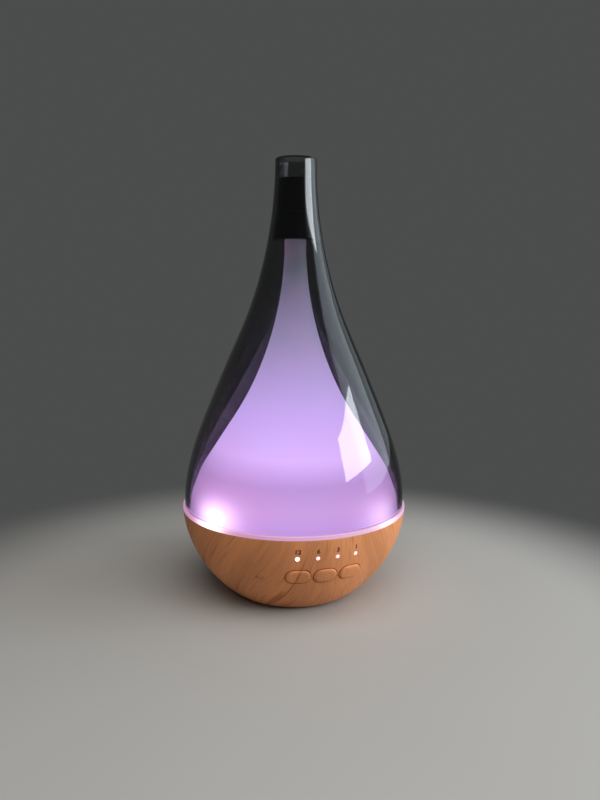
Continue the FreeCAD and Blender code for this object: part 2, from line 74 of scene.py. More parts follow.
COVER_PROFILE = (  # the same for the inner cover, above the rim too
    (55.6, 5.0), (53.1, 12.0), (50.2, 19.0), (45.2, 27.0), (39.3, 36.0), (29.5, 51.0),
    (18.8, 72.0), (10.8, 96.0), (6.6, 119.0), (5.6, 132.0))
COVER_TONES = (  # the inner cover's light, by share of the lit height
    (0.0, (0.62, 0.40, 0.80)), (0.02, (0.70, 0.46, 0.87)), (0.05, (0.76, 0.49, 0.86)),
    (0.118, (0.62, 0.40, 0.77)), (0.185, (0.90, 0.62, 1.15)), (0.29, (0.70, 0.50, 1.04)),
    (0.40, (0.50, 0.38, 0.76)), (0.52, (0.29, 0.265, 0.45)), (0.64, (0.150, 0.155, 0.235)),
    (0.76, (0.068, 0.074, 0.092)), (0.90, (0.024, 0.025, 0.028)))
LIT_HEIGHT = 170 * MM  # how far up the inner cover the light fades
LAMPS = ((-60.0, 1.0), (35.0, 0.48), (167.0, 1.0))  # degrees from the front, and how bright each shows
KNOTS = ((-31.0, 24.8, 2.0), (-28.8, 24.2, 1.5))  # across, height and reach of the wood print's knots
BOWL_POWER = 1.857  # roundness of the bowl's outline; 2 would be an ellipse
KEY_LIP = 0.6 * MM  # how far a key's inner lip passes its front
SOCKET_RADIUS = 5.3 * MM  # of the pocket in the bowl that the socket sits in
SIDES = ("left", "middle", "right")  # the keys' bodies


def centre_of(node):
    low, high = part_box(node)
    return (low + high) / 2


# ----- Sizes and colours that a user may change -----
def length(name, description, default):
    return FloatProperty(name=name, description=description, default=default, min=0.0,
                         unit="LENGTH", subtype="DISTANCE", precision=5)


def colour(name, description, default):
    return FloatVectorProperty(name=name, description=description, default=default, size=3,
                               min=0.0, max=1.0, subtype="COLOR")


class DiffuserSizes(bpy.types.PropertyGroup):
    glass_wall: length("Glass wall", "Thickness of the glass cover", 2.0 * MM)
    cover_wall: length("Inner cover wall", "Thickness of the frosted cover", 1.5 * MM)
    chimney_radius: length("Chimney radius", "Outside radius of the inner cover's chimney", 5.6 * MM)
    bowl_radius: length("Bowl radius", "Radius of the bowl at its mouth", RIM_RADIUS)
    bowl_depth: length("Bowl depth", "Half height of the rounded form the bowl follows", 58.9 * MM)
    bowl_wall: length("Bowl wall", "Thickness of the bowl", 2.2 * MM)
    key_width: length("Key width", "Width of a capsule key", 11.6 * MM)
    key_height: length("Key height", "Height of a capsule key", 7.6 * MM)
    key_proud: length("Key proud", "How far a key stands out of the bowl", 0.9 * MM)
    key_gap: length("Key gap", "Gap round a key", 0.25 * MM)
    lens_radius: length("Lens radius", "Radius of an indicator's lens", 0.95 * MM)
    mark_height: length("Mark height", "Height of the numerals above the indicators", 2.3 * MM)
    foot_radius: length("Foot radius", "Radius of a rubber foot", 4.2 * MM)


class DiffuserColours(bpy.types.PropertyGroup):
    glass_tint: colour("Glass tint", "Colour the smoked glass lets through", (0.5, 0.5, 0.515))
    glow: colour("Glow", "Tint of all the inner cover's light", (1.0, 1.0, 1.0))
    lamp: colour("Lamp", "Colour of the cover right above a lamp", (1.0, 0.80, 0.93))
    rim: colour("Rim", "Colour of the tank's lit rim", (0.50, 0.20, 0.40))
    wood_light: colour("Light wood", "Lightest tone of the wood print", (0.83, 0.330, 0.140))
    wood_dark: colour("Dark wood", "Tone of the streaks in the wood print", (0.36, 0.098, 0.028))
    mark: colour("Mark", "Colour of the printed numerals", (0.15, 0.045, 0.016))
    plastic: colour("Base plastic", "Colour of the bottom cover", (0.26, 0.13, 0.065))
    floor: colour("Floor", "Colour of the pale floor", (0.45, 0.445, 0.435))
    backdrop: colour("Backdrop", "Colour of the plain surroundings", (0.072, 0.075, 0.073))


class DiffuserStage(bpy.types.PropertyGroup):
    window_power: FloatProperty(name="Window power", description="Strength of the tall soft light",
                                default=5.1, min=0.0, unit="POWER")
    key_power: FloatProperty(name="Key power", description="Strength of the soft light from the upper right",
                             default=0.3, min=0.0, unit="POWER")
    side_power: FloatProperty(name="Side power", description="Strength of the broad pale light at the right",
                              default=2.95, min=0.0, unit="POWER")
    fill_power: FloatProperty(name="Fill power", description="Strength of the large light overhead",
                              default=6.9, min=0.0, unit="POWER")
    camera_turn: FloatProperty(name="Camera turn", description="Where the camera stands round the object",
                               default=math.radians(-16.2), subtype="ANGLE", unit="ROTATION")
    camera_distance: length("Camera distance", "From the camera to the upright axis", 371.3 * MM)
    camera_height: length("Camera height", "Height of the camera above the floor", 161.3 * MM)
    lens: FloatProperty(name="Lens", description="Focal length in millimetres", default=31.5, min=1.0)


# ----- Outlines and meshes -----
def smooth_line(places):
    """Points of an even curve through (radius, height) places, in the XZ plane."""
    steps, rounds = 8, 40
    knots = [Vector((radius, 0, height)) for radius, height in places]
    last = len(knots) - 1
    spans = [(b - a).length for a, b in zip(knots, knots[1:])]
    slopes = [(b - a) / span for a, b, span in zip(knots, knots[1:], spans)]
    tangents = [slopes[0]] + [(a + b) / 2 for a, b in zip(slopes, slopes[1:])] + [slopes[-1]]
    for _ in range(rounds):
        for i in range(1, last):
            before, after = spans[i - 1], spans[i]
            wanted = 3 * (slopes[i - 1] * after + slopes[i] * before)
            wanted -= tangents[i - 1] * after + tangents[i + 1] * before
            tangents[i] = wanted / (2 * (before + after))
        tangents[0] = (3 * slopes[0] - tangents[1]) / 2
        tangents[last] = (3 * slopes[-1] - tangents[last - 1]) / 2
    line = [knots[0]]
    for i, span in enumerate(spans):
        first = knots[i] + tangents[i] * span / 3
        second = knots[i + 1] - tangents[i + 1] * span / 3
        line += interpolate_bezier(knots[i], first, second, knots[i + 1], steps + 1)[1:]
    return line


def inward(line, wall):
    """The same line moved towards the axis, square to itself, for the inside of a wall with a level foot."""
    moved = []
    for i, place in enumerate(line):
        along = (line[min(i + 1, len(line) - 1)] - line[max(i - 1, 0)]).normalized()
        moved.append(place + Vector((-along.z, 0, along.x)) * wall)
    moved[0].z = line[0].z
    return moved


def rounded(corner, before, after, radius):
    """Points of a small rounded corner between two neighbours."""
    back = (before - corner).normalized()
    ahead = (after - corner).normalized()
    reach = radius / math.tan(back.angle(ahead) / 2)
    start, end = corner + back * reach, corner + ahead * reach
    pull, points = 0.55 * reach, 5
    return list(interpolate_bezier(start, start - back * pull, end - ahead * pull, end, points))


def outline(corners):
    """Closed outline of (radius, height) or (radius, height, rounding) corners, in the XZ plane."""
    places = [Vector((corner[0], 0, corner[1])) for corner in corners]
    line = []
    for i, corner in enumerate(corners):
        if len(corner) == 2:
            line.append(places[i])
        else:
            line += rounded(places[i], places[i - 1], places[(i + 1) % len(places)], corner[2])
    return line


def turned(line, steps=ROUND_STEPS):
    """A bmesh of a closed outline turned once round the Z axis."""
    bm = bmesh.new()
    verts = [bm.verts.new(place) for place in line]
    edges = [bm.edges.new(pair) for pair in zip(verts, verts[1:] + verts[:1])]
    bmesh.ops.spin(bm, geom=verts + edges, cent=(0, 0, 0), axis=(0, 0, 1), dvec=(0, 0, 0),
                   angle=math.tau, steps=steps, use_merge=True, use_duplicate=False)
    bmesh.ops.remove_doubles(bm, verts=bm.verts, dist=1e-6)
    bmesh.ops.recalc_face_normals(bm, faces=bm.faces)
    return bm


def piece(name, bm, finish, body, slot, *nodes, sharp=35.0):
    """Makes a bmesh a finished piece that rides on a body and stands for CAD nodes."""
    mesh = bpy.data.meshes.new(name)
    bm.to_mesh(mesh)
    bm.free()
    mesh.shade_smooth()
    mesh.set_sharp_from_angle(angle=math.radians(sharp))
    obj = bpy.data.objects.new(name, mesh)
    bpy.context.scene.collection.objects.link(obj)
    mesh.materials.append(finish)
    if nodes:
        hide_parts(*nodes)
    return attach(obj, body)


def merged(node):
    """A bmesh copy of a CAD node with its loose triangles joined."""
    bm = bmesh.new()
    bm.from_mesh(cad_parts[node].data)
    bmesh.ops.remove_doubles(bm, verts=bm.verts, dist=2e-6)
    bmesh.ops.dissolve_limit(bm, angle_limit=math.radians(0.5), verts=bm.verts, edges=bm.edges)
    bmesh.ops.triangulate(bm, faces=[face for face in bm.faces if len(face.verts) > 4])
    return bm


def copies(body, *rows):
    """Merged copies of CAD nodes as finished pieces; a row is (name, node, finish, slot)."""
    for name, node, finish, slot in rows:
        piece(name, merged(node), finish, body, slot, node)


def carved(bm, cutters, operation="DIFFERENCE"):
    """A bmesh with other closed bmeshes cut from it or joined to it."""
    held = []
    for index, shape in enumerate([bm, *cutters]):
        mesh = bpy.data.meshes.new(f"carving {index}")
        shape.to_mesh(mesh)
        shape.free()
        held.append(bpy.data.objects.new(mesh.name, mesh))
        bpy.context.scene.collection.objects.link(held[-1])
    for cutter in held[1:]:
        step = held[0].modifiers.new("Carve", "BOOLEAN")
        step.operation = operation
        step.solver = "EXACT"
        step.object = cutter
    shown = held[0].evaluated_get(bpy.context.evaluated_depsgraph_get())
    result = bmesh.new()
    result.from_mesh(bpy.data.meshes.new_from_object(shown))
    for obj in held:
        bpy.data.objects.remove(obj)
    return result


def rod(radius, start, end, x, z, segments):
    """A closed cylinder along Y."""
    bm = bmesh.new()
    place = Matrix.Translation((x, (start + end) / 2, z)) @ Matrix.Rotation(math.radians(-90), 4, "X")
    bmesh.ops.create_cone(bm, cap_ends=True, segments=segments, radius1=radius, radius2=radius,
                          depth=end - start, matrix=place)
    return bm


def join(*shapes):
    """Several bmeshes as one, with the later ones emptied into the first."""
    first = shapes[0]
    for other in shapes[1:]:
        mesh = bpy.data.meshes.new("joining")
        other.to_mesh(mesh)
        other.free()
        first.from_mesh(mesh)
        bpy.data.meshes.remove(mesh)
    return first


# ----- Finishes -----
class Finish:
    """A material whose nodes are added one call at a time."""

    def __init__(self, name):
        self.material = bpy.data.materials.new(name)
        self.material.use_nodes = True
        self.tree = self.material.node_tree
        self.tree.nodes.clear()
        self.place = self.add("ShaderNodeTexCoord").outputs["Object"]

    def add(self, kind, sockets=None, **settings):
        node = self.tree.nodes.new(kind)
        for name, value in settings.items():
            setattr(node, name, value)
        for name, value in (sockets or {}).items():
            if isinstance(value, bpy.types.NodeSocket):
                self.tree.links.new(value, node.inputs[name])
            else:
                node.inputs[name].default_value = value
        return node

    def math(self, operation, first, second=0.0, third=0.0, clamp=False):
        return self.add("ShaderNodeMath", {0: first, 1: second, 2: third}, operation=operation,
                        use_clamp=clamp).outputs[0]

    def times(self, first, second, clamp=False):
        return self.math("MULTIPLY", first, second, clamp=clamp)

    def wave(self, value, pitch):
        return self.math("SINE", self.times(value, math.tau / pitch))

    def mix(self, factor, first, second, blend="MIX"):
        return self.add("ShaderNodeMix", {0: factor, 6: solid(first), 7: solid(second)},
                        data_type="RGBA", blend_type=blend).outputs[2]

    def fade(self, value, start, end, low=0.0, high=1.0):
        sockets = {"Value": value, "From Min": start, "From Max": end, "To Min": low, "To Max": high}
        return self.add("ShaderNodeMapRange", sockets, interpolation_type="SMOOTHSTEP").outputs[0]

    def noise(self, scale, detail=2.0, roughness=0.5, at=None):
        sockets = {"Vector": at or self.place, "Scale": scale, "Detail": detail, "Roughness": roughness}
        return self.add("ShaderNodeTexNoise", sockets).outputs["Fac"]

    def ramp(self, value, stops):
        """Colours along a value; a stop is (position, colour), from low to high."""
        node = self.add("ShaderNodeValToRGB", {"Fac": value})
        bands = node.color_ramp.elements
        while len(bands) < len(stops):
            bands.new(1.0)
        for band, (position, shade) in zip(bands, stops):
            band.position = position
            band.color = (*shade, 1.0)
        return node.outputs["Color"]

    def height(self):
        return self.add("ShaderNodeSeparateXYZ", {0: self.place}).outputs["Z"]

    def distance(self, point):
        return self.vector("DISTANCE", self.place, point).outputs["Value"]

    def bump(self, height, strength, distance):
        sockets = {"Height": height, "Strength": strength, "Distance": distance}
        return self.add("ShaderNodeBump", sockets).outputs["Normal"]

    def vector(self, operation, first, second=(0, 0, 0)):
        return self.add("ShaderNodeVectorMath", {0: first, 1: second}, operation=operation)

    def surface(self, sockets):
        return self.add("ShaderNodeBsdfPrincipled", sockets).outputs[0]

    def surfaced(self, sockets):
        return self.done(self.surface(sockets))

    def done(self, shader, volume=None):
        output = self.add("ShaderNodeOutputMaterial", {"Surface": shader})
        if volume is not None:
            self.tree.links.new(volume, output.inputs["Volume"])
        return self.material


def solid(value):
    """A colour with its alpha, or a socket as it is."""
    return value if isinstance(value, bpy.types.NodeSocket) else (*value, 1.0)[:4]


def scaled(shade, amount):
    return tuple(channel * amount for channel in shade)


def smoked_glass(tint):
    finish = Finish("Smoked glass")
    smear = finish.noise(55.0, 3.0, 0.6)
    haze = finish.fade(smear, 0.55, 0.8, 0.0, 0.02)
    # Painted glow: the glass is tinted purple low down, standing in for the inner cover's light reflected
    # inside the glass; the tint fades out 80 mm above the rim.
    painted_glow_fade = finish.fade(finish.height(), RIM_TOP, RIM_TOP + 80 * MM)
    painted_glow_tint = finish.mix(painted_glow_fade, (0.90, 0.82, 1.0), (1.0, 1.0, 1.0))
    clear = finish.surface({"Base Color": painted_glow_tint, "Roughness": haze, "IOR": 1.5,
                            "Transmission Weight": 1.0})
    shade = finish.add("ShaderNodeBsdfTransparent", {"Color": solid(scaled(tint, 0.72))}).outputs[0]
    shadow = finish.add("ShaderNodeLightPath").outputs["Is Shadow Ray"]
    shader = finish.add("ShaderNodeMixShader", {0: shadow, 1: clear, 2: shade}).outputs[0]
    smoke = finish.add("ShaderNodeVolumeAbsorption", {"Color": solid(tint), "Density": GLASS_DENSITY})
    return finish.done(shader, smoke.outputs[0])


def lamp_glow(finish, radius, height, width, flatness=1.0):
    """How near a point is to a lamp under the rim, from 0 to 1; flatness makes the glow low and wide."""
    glows = []
    for turn, strength in LAMPS:
        angle = math.radians(turn)
        spot = (radius * math.sin(angle), -radius * math.cos(angle), height)
        away = finish.vector("SUBTRACT", finish.place, spot).outputs[0]
        away = finish.vector("MULTIPLY", away, (1, 1, flatness)).outputs[0]
        away = finish.vector("LENGTH", away).outputs["Value"]
        near = finish.math("POWER", finish.math("DIVIDE", away, width), 2.0)
        glows.append(finish.times(finish.math("EXPONENT", finish.times(near, -1.0)), strength))
    total = glows[0]
    for glow in glows[1:]:
        total = finish.math("ADD", total, glow)
    return total


def frosted_glow(colours):
    """Frosted plastic lit from below: brightest low down, and white above each lamp."""
    finish = Finish("Frosted lit plastic")
    share = finish.math("DIVIDE", finish.math("SUBTRACT", finish.height(), RIM_TOP), LIT_HEIGHT)
    body = finish.ramp(share, COVER_TONES)
    cloud = finish.noise(38.0, 2.0, 0.5)
    body = finish.mix(finish.fade(cloud, 0.3, 0.7, 0.0, 0.10), body, (0.9, 0.35, 0.8))
    core = lamp_glow(finish, 56.0 * MM, RIM_TOP + 3.0 * MM, 13.0 * MM, 1.7)
    halo = lamp_glow(finish, 54.0 * MM, RIM_TOP + 5.0 * MM, 26.0 * MM, 1.4)
    pink = finish.mix(finish.times(halo, 0.42, True), body, (1.0, 0.47, 0.86))
    shade = finish.mix(finish.times(core, 1.0, True), pink, tuple(colours.lamp))
    shade = finish.mix(1.0, shade, tuple(colours.glow), "MULTIPLY")
    power = finish.math("MULTIPLY_ADD", core, 3.9, 2.45)
    grain = finish.noise(2600.0, 2.0, 0.7)
    return finish.surfaced({
        "Base Color": (0.30, 0.27, 0.32, 1), "Roughness": finish.fade(grain, 0.3, 0.7, 0.42, 0.55),
        "IOR": 1.46, "Normal": finish.bump(grain, 0.12, 0.1 * MM),
        "Emission Color": shade, "Emission Strength": power})


def milky_glow(colours):
    """Milky plastic of the tank: the rim glows, and the bowl of it glows softly."""
    finish = Finish("Milky lit plastic")
    height = finish.height()
    flow = finish.noise(60.0, 2.0)
    grain = finish.noise(1400.0, 2.0, 0.6)
    core = lamp_glow(finish, 59.0 * MM, RIM_TOP, 10.0 * MM)
    inside = lamp_glow(finish, 47.0 * MM, RIM_TOP - 6.0 * MM, 17.0 * MM)
    rim = finish.fade(height, BOWL_MOUTH - 1.5 * MM, BOWL_MOUTH)
    shade = finish.mix(finish.times(core, 1.0, True), tuple(colours.rim), tuple(colours.lamp))
    tank = finish.mix(finish.fade(flow, 0.3, 0.7), (0.30, 0.17, 0.42), (0.36, 0.20, 0.45))
    tank = finish.mix(finish.times(inside, 0.8, True), tank, (1.0, 0.62, 0.95))
    shade = finish.mix(rim, tank, shade)
    power = finish.math("MULTIPLY_ADD", core, 1.5, 0.85)
    return finish.surfaced({
        "Base Color": finish.mix(finish.fade(flow, 0.3, 0.7), (0.36, 0.31, 0.36), (0.40, 0.35, 0.39)),
        "Roughness": finish.fade(grain, 0.3, 0.7, 0.26, 0.36), "IOR": 1.49,
        "Normal": finish.bump(grain, 0.06, 0.1 * MM),
        "Emission Color": shade, "Emission Strength": power})


def wood_print(colours):
    """Printed wood film: long streaks that fan out downwards, soft bands, fine fibres and a small knot."""
    finish = Finish("Printed wood grain")
    light, dark = tuple(colours.wood_light), tuple(colours.wood_dark)
    parts = finish.add("ShaderNodeSeparateXYZ", {0: finish.place}).outputs
    turn = finish.math("ARCTAN2", parts["X"], finish.times(parts["Y"], -1.0))
    below = finish.math("SUBTRACT", RIM_TOP, parts["Z"])
    lean = finish.times(finish.times(below, 17.0), finish.math("SINE", turn))
    wander = finish.times(finish.math("SUBTRACT", finish.noise(22.0, 1.0), 0.5), 0.13)
    line = finish.math("ADD", finish.math("SUBTRACT", turn, lean), wander)
    along = finish.add("ShaderNodeCombineXYZ", {
        "X": finish.times(finish.math("SINE", line), RIM_RADIUS),
        "Y": finish.times(finish.math("COSINE", line), RIM_RADIUS),
        "Z": finish.times(parts["Z"], 0.07)}).outputs[0]
    band = finish.noise(62.0, 1.0, 0.5, at=along)
    strip = finish.noise(330.0, 2.0, 0.5, at=along)
    fibre = finish.noise(1500.0, 3.0, 0.65, at=along)

    tone = finish.mix(finish.fade(band, 0.42, 0.60), light, scaled(light, 0.82))
    tone = finish.mix(finish.fade(strip, 0.28, 0.46, 0.35, 0.0), tone, scaled(light, 1.12))
    vein = finish.times(finish.fade(strip, 0.58, 0.68), finish.fade(band, 0.35, 0.58, 0.30, 0.75))
    tone = finish.mix(vein, tone, dark)
    tone = finish.mix(finish.fade(fibre, 0.45, 0.75, 0.0, 0.30), tone, dark)

    for x, z, reach in KNOTS:
        x, z, reach = x * MM, z * MM, reach * MM
        away = finish.distance(on_bowl(x, z))
        ring = finish.times(finish.fade(finish.wave(away, 0.9 * MM), 0.0, 1.0),
                            finish.fade(away, 0.4 * reach, 1.6 * reach, 0.45, 0.0))
        tone = finish.mix(ring, tone, dark)
        tone = finish.mix(finish.fade(away, 0.1 * reach, 0.4 * reach, 0.75, 0.0), tone, scaled(dark, 0.6))

    relief = finish.math("ADD", finish.times(fibre, 0.5), finish.times(vein, -0.8))
    return finish.surfaced({
        "Base Color": tone, "Roughness": finish.fade(fibre, 0.3, 0.7, 0.44, 0.56), "IOR": 1.46,
        "Specular IOR Level": 0.15, "Normal": finish.bump(relief, 0.10, 0.10 * MM)})


def moulded(name, base, roughness=0.45, texture=900.0, depth=0.08, sheen=0.0):
    """Moulded plastic or rubber with a fine texture and slight flow marks."""
    finish = Finish(name)
    flow = finish.noise(70.0, 3.0, 0.55)
    grain = finish.noise(texture, 3.0, 0.7)
    tone = finish.mix(finish.fade(flow, 0.3, 0.7), scaled(base, 0.86), scaled(base, 1.12))
    tone = finish.mix(finish.fade(grain, 0.55, 0.8, 0.0, 0.25), tone, scaled(base, 1.5))
    return finish.surfaced({
        "Base Color": tone, "Roughness": finish.fade(grain, 0.3, 0.7, roughness - 0.06, roughness + 0.07),
        "IOR": 1.48, "Sheen Weight": sheen, "Sheen Roughness": 0.5,
        "Normal": finish.bump(grain, depth * 4, depth * MM)})


def metal(name, base, roughness=0.3, turned_about=None):
    """Plated or turned metal; turned_about puts fine rings round a point."""
    finish = Finish(name)
    if turned_about is None:
        line = finish.add("ShaderNodeMapping", {"Vector": finish.place, "Scale": (1, 1, 14.0)}).outputs[0]
        grain = finish.noise(900.0, 3.0, 0.6, at=line)
    else:
        ring = finish.times(finish.distance(turned_about), 9000.0)
        grain = finish.fade(finish.math("SINE", ring), -1.0, 1.0)
    stain = finish.noise(180.0, 3.0, 0.6)
    tone = finish.mix(finish.fade(stain, 0.35, 0.7), base, scaled(base, 0.78))
    return finish.surfaced({
        "Base Color": tone, "Metallic": 1.0,
        "Roughness": finish.fade(grain, 0.2, 0.8, roughness - 0.07, roughness + 0.1),
        "Normal": finish.bump(grain, 0.12, 0.05 * MM)})


def copper_winding():
    """Enamelled wire laid in even turns, with painted shade in the grooves between them."""
    finish = Finish("Copper winding")
    turn = finish.fade(finish.wave(finish.height(), 0.32 * MM), -1.0, 1.0)
    # Painted shade: the same wave that gives the turns their relief darkens the colour in the grooves between
    # them.
    tone = finish.mix(turn, (0.20, 0.05, 0.015), (0.72, 0.27, 0.10))
    return finish.surfaced({"Base Color": tone, "Metallic": 0.8, "Roughness": 0.3,
                            "Coat Weight": 0.4, "Normal": finish.bump(turn, 0.6, 0.12 * MM)})


def green_board():
    """Circuit board under green lacquer, with tracks and tinned pads."""
    finish = Finish("Green circuit board")
    cells = finish.add("ShaderNodeTexVoronoi", {"Vector": finish.place, "Scale": 330.0},
                       distance="CHEBYCHEV")
    edge = finish.add("ShaderNodeTexVoronoi", {"Vector": finish.place, "Scale": 240.0},
                      feature="DISTANCE_TO_EDGE").outputs["Distance"]
    track = finish.fade(edge, 0.03, 0.06, 1.0, 0.0)
    pad = finish.fade(cells.outputs["Distance"], 0.10, 0.13, 1.0, 0.0)
    lacquer = finish.mix(track, (0.012, 0.075, 0.030), (0.03, 0.16, 0.065))
    tone = finish.mix(pad, lacquer, (0.55, 0.54, 0.50))
    return finish.surfaced({
        "Base Color": tone, "Metallic": finish.times(pad, 0.9),
        "Roughness": finish.fade(pad, 0.0, 1.0, 0.28, 0.36), "Coat Weight": 0.3,
        "Normal": finish.bump(finish.math("ADD", track, pad), 0.3, 0.06 * MM)})


def lit_lens(name, shade, strength):
    """Clear lens lit from behind, with faint paler clouds in its light."""
    finish = Finish(name)
    cloud = finish.noise(900.0, 2.0)
    tone = finish.mix(finish.fade(cloud, 0.3, 0.7, 0.0, 0.2), shade, (1.0, 1.0, 1.0))
    return finish.surfaced({"Base Color": (0.50, 0.42, 0.45, 1), "Roughness": 0.18, "IOR": 1.49,
                            "Emission Color": tone, "Emission Strength": strength})


# ----- Forms shared by several pieces -----
def bowl_reach(height, inset=0.0):
    """Radius of the bowl at a height; a negative inset lies outside it."""
    sizes = bpy.context.scene.diffuser_sizes
    depth = abs(height - RIM_TOP) / (sizes.bowl_depth - inset)
    return (sizes.bowl_radius - inset) * (1 - depth ** BOWL_POWER) ** (1 / BOWL_POWER)


def on_bowl(x, z, proud=0.0):
    """The front of the bowl at a place across and a height, or a little outside it."""
    return Vector((x, -math.sqrt(max(bowl_reach(z, -proud) ** 2 - x * x, 0.0)), z))


def capsule_outline(bm, width, height, x, z, y):
    """Vertices of a level capsule in a plane across Y."""
    steps = 18
    end = height / 2
    reach = width / 2 - end
    verts = []
    for side in (1, -1):
        for step in range(steps + 1):
            angle = math.radians(180 * step / steps - 90 * side)
            verts.append(bm.verts.new((x + side * reach + end * math.cos(angle), y,
                                       z + end * math.sin(angle))))
    return verts


def capsule_prism(width, height, x, z, start, end):
    """A closed capsule block along Y."""
    bm = bmesh.new()
    face = bm.faces.new(capsule_outline(bm, width, height, x, z, start))
    moved = bmesh.ops.extrude_face_region(bm, geom=[face])
    verts = [item for item in moved["geom"] if isinstance(item, bmesh.types.BMVert)]
    bmesh.ops.translate(bm, verts=verts, vec=(0, end - start, 0))
    bmesh.ops.recalc_face_normals(bm, faces=bm.faces)
    return bm


def bowl_core(low, high, inset, rows):
    """The solid that would fill the bowl between two heights, a little inside it."""
    line = [Vector((0, 0, low))]
    for row in range(rows + 1):
        height = low + (high - low) * row / rows
        line.append(Vector((bowl_reach(height, inset), 0, height)))
    return turned([*line, Vector((0, 0, high))], CORE_STEPS)


def bowl_capsule(width, height, x, z, rings, back):
    """A closed capsule from a flat back to rings on the bowl; a ring is (inset, how proud it stands)."""
    bm = bmesh.new()
    loops = []
    for number, (inset, proud) in enumerate(rings):
        verts = capsule_outline(bm, width - 2 * inset, height - 2 * inset, x, z, back)
        if number:
            for vert in verts:
                vert.co = on_bowl(vert.co.x, vert.co.z, proud)
        loops.append((verts, [bm.edges.new(pair) for pair in zip(verts, verts[1:] + verts[:1])]))
    for (_, near), (_, far) in zip(loops, loops[1:]):
        bmesh.ops.bridge_loops(bm, edges=near + far)
    bm.faces.new(loops[0][0])
    bm.faces.new(loops[-1][0])
    bmesh.ops.recalc_face_normals(bm, faces=bm.faces)
    return bm


def pillow(height, proud, reach, fall):
    """Rings of a key's front that falls off softly towards its edge."""
    steps = 7
    turns = [math.radians(90 * step / steps) for step in range(steps + 1)]
    edge = [(reach * (1 - math.cos(turn)), proud - fall * (1 - math.sin(turn))) for turn in turns]
    return [edge[0]] + edge + [(height / 2 * share, proud) for share in (0.6, 0.75, 0.9)]


def key_places():
    """Number, body, place across and height of each key, from left to right."""
    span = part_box("button_3")[1].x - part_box("button_1")[0].x
    pitch = (span - bpy.context.scene.diffuser_sizes.key_width - 2 * KEY_LIP) / 2
    for number, side in enumerate(SIDES, 1):
        yield number, f"key_{side}", (number - 2) * pitch, centre_of(f"button_{number}").z


def above_rim(profile):
    """A profile in millimetres above the rim as places in the frame."""
    return [(radius * MM, RIM_TOP + height * MM) for radius, height in profile]


# ----- Operators, one for each piece or group of pieces -----
class DIFFUSER_OT_glass_cover(bpy.types.Operator):
    """Makes the smoked glass teardrop with its open neck"""
    bl_idname = "diffuser.glass_cover"
    bl_label = "Glass Cover"

    def execute(self, context):
        wall = context.scene.diffuser_sizes.glass_wall
        outside = smooth_line([*above_rim(GLASS_PROFILE), (GLASS_NECK, GLASS_TOP - wall / 2)])
        inside = inward(outside, wall)
        bead = 0.5 * MM
        out_edge = rounded(outside[0], inside[0], outside[1], bead)
        in_edge = rounded(inside[0], inside[1], outside[0], bead)
        top = outside[-1]
        steps = 8
        lip = []
        for step in range(1, steps):
            angle = math.pi * step / steps
            lip.append(Vector((top.x - wall / 2 + wall / 2 * math.cos(angle), 0,
                               top.z + wall / 2 * math.sin(angle))))
        line = out_edge + outside[2:] + lip + inside[:1:-1] + in_edge
        glass = smoked_glass(tuple(context.scene.diffuser_colours.glass_tint))
        piece("glass_teardrop", turned(line), glass, "glass", "smoked_glass", "glass_cover")
        return {"FINISHED"}


class DIFFUSER_OT_inner_cover(bpy.types.Operator):
    """Makes the frosted trumpet with its slim chimney"""
    bl_idname = "diffuser.inner_cover"
    bl_label = "Inner Cover"

    def execute(self, context):
        sizes = context.scene.diffuser_sizes
        outside = smooth_line([(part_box("inner_cover")[1].x, COVER_FOOT), *above_rim(COVER_PROFILE)])
        inside = inward(outside, sizes.cover_wall)
        chimney = sizes.chimney_radius
        bore = chimney - sizes.cover_wall
        inside[-1].x = bore
        edge = 0.3 * MM
        top = outline([(chimney, outside[-1].z + MM), (chimney, CHIMNEY_TOP, edge),
                       (bore, CHIMNEY_TOP, edge), (bore, inside[-1].z + MM)])
        foot = rounded(outside[0], inside[0], outside[1], edge)
        line = foot + outside[2:] + top + inside[::-1]
        piece("frosted_cover", turned(line), frosted_glow(context.scene.diffuser_colours),
              "cover", "frosted_cover", "inner_cover")
        return {"FINISHED"}


class DIFFUSER_OT_mist_nozzle(bpy.types.Operator):
    """Makes the black collar that fills the neck of the glass"""
    bl_idname = "diffuser.mist_nozzle"
    bl_label = "Mist Nozzle"

    def execute(self, context):
        sizes = context.scene.diffuser_sizes
        bore = sizes.chimney_radius - sizes.cover_wall
        socket = sizes.chimney_radius + 0.05 * MM
        groove = NOZZLE_LOW + 0.45 * (NOZZLE_HIGH - NOZZLE_LOW)
        waist, edge = 9.5 * MM, 0.4 * MM
        line = outline([
            (socket, NOZZLE_LOW), (NOZZLE_RADIUS, NOZZLE_LOW, edge), (9.9 * MM, groove - 0.4 * MM),
            (waist, groove), (waist, groove + MM), (9.75 * MM, groove + 1.4 * MM),
            (8.5 * MM, NOZZLE_HIGH, edge), (bore + 2.4 * MM, NOZZLE_HIGH, edge),
            (bore, NOZZLE_HIGH - 2.5 * MM), (bore, CHIMNEY_TOP), (socket, CHIMNEY_TOP)])
        black = moulded("Black nozzle plastic", (0.010, 0.009, 0.009), 0.42)
        piece("neck_nozzle", turned(line, 96), black, "cover", "black_plastic", "mist_nozzle")
        return {"FINISHED"}


class DIFFUSER_OT_water_tank(bpy.types.Operator):
    """Makes the milky tank whose rim shows as a lit ring"""
    bl_idname = "diffuser.water_tank"
    bl_label = "Water Tank"

    def execute(self, context):
        piece("lit_tank", merged("water_tank"), milky_glow(context.scene.diffuser_colours),
              "base", "milky_tank", "water_tank", sharp=28.0)
        return {"FINISHED"}


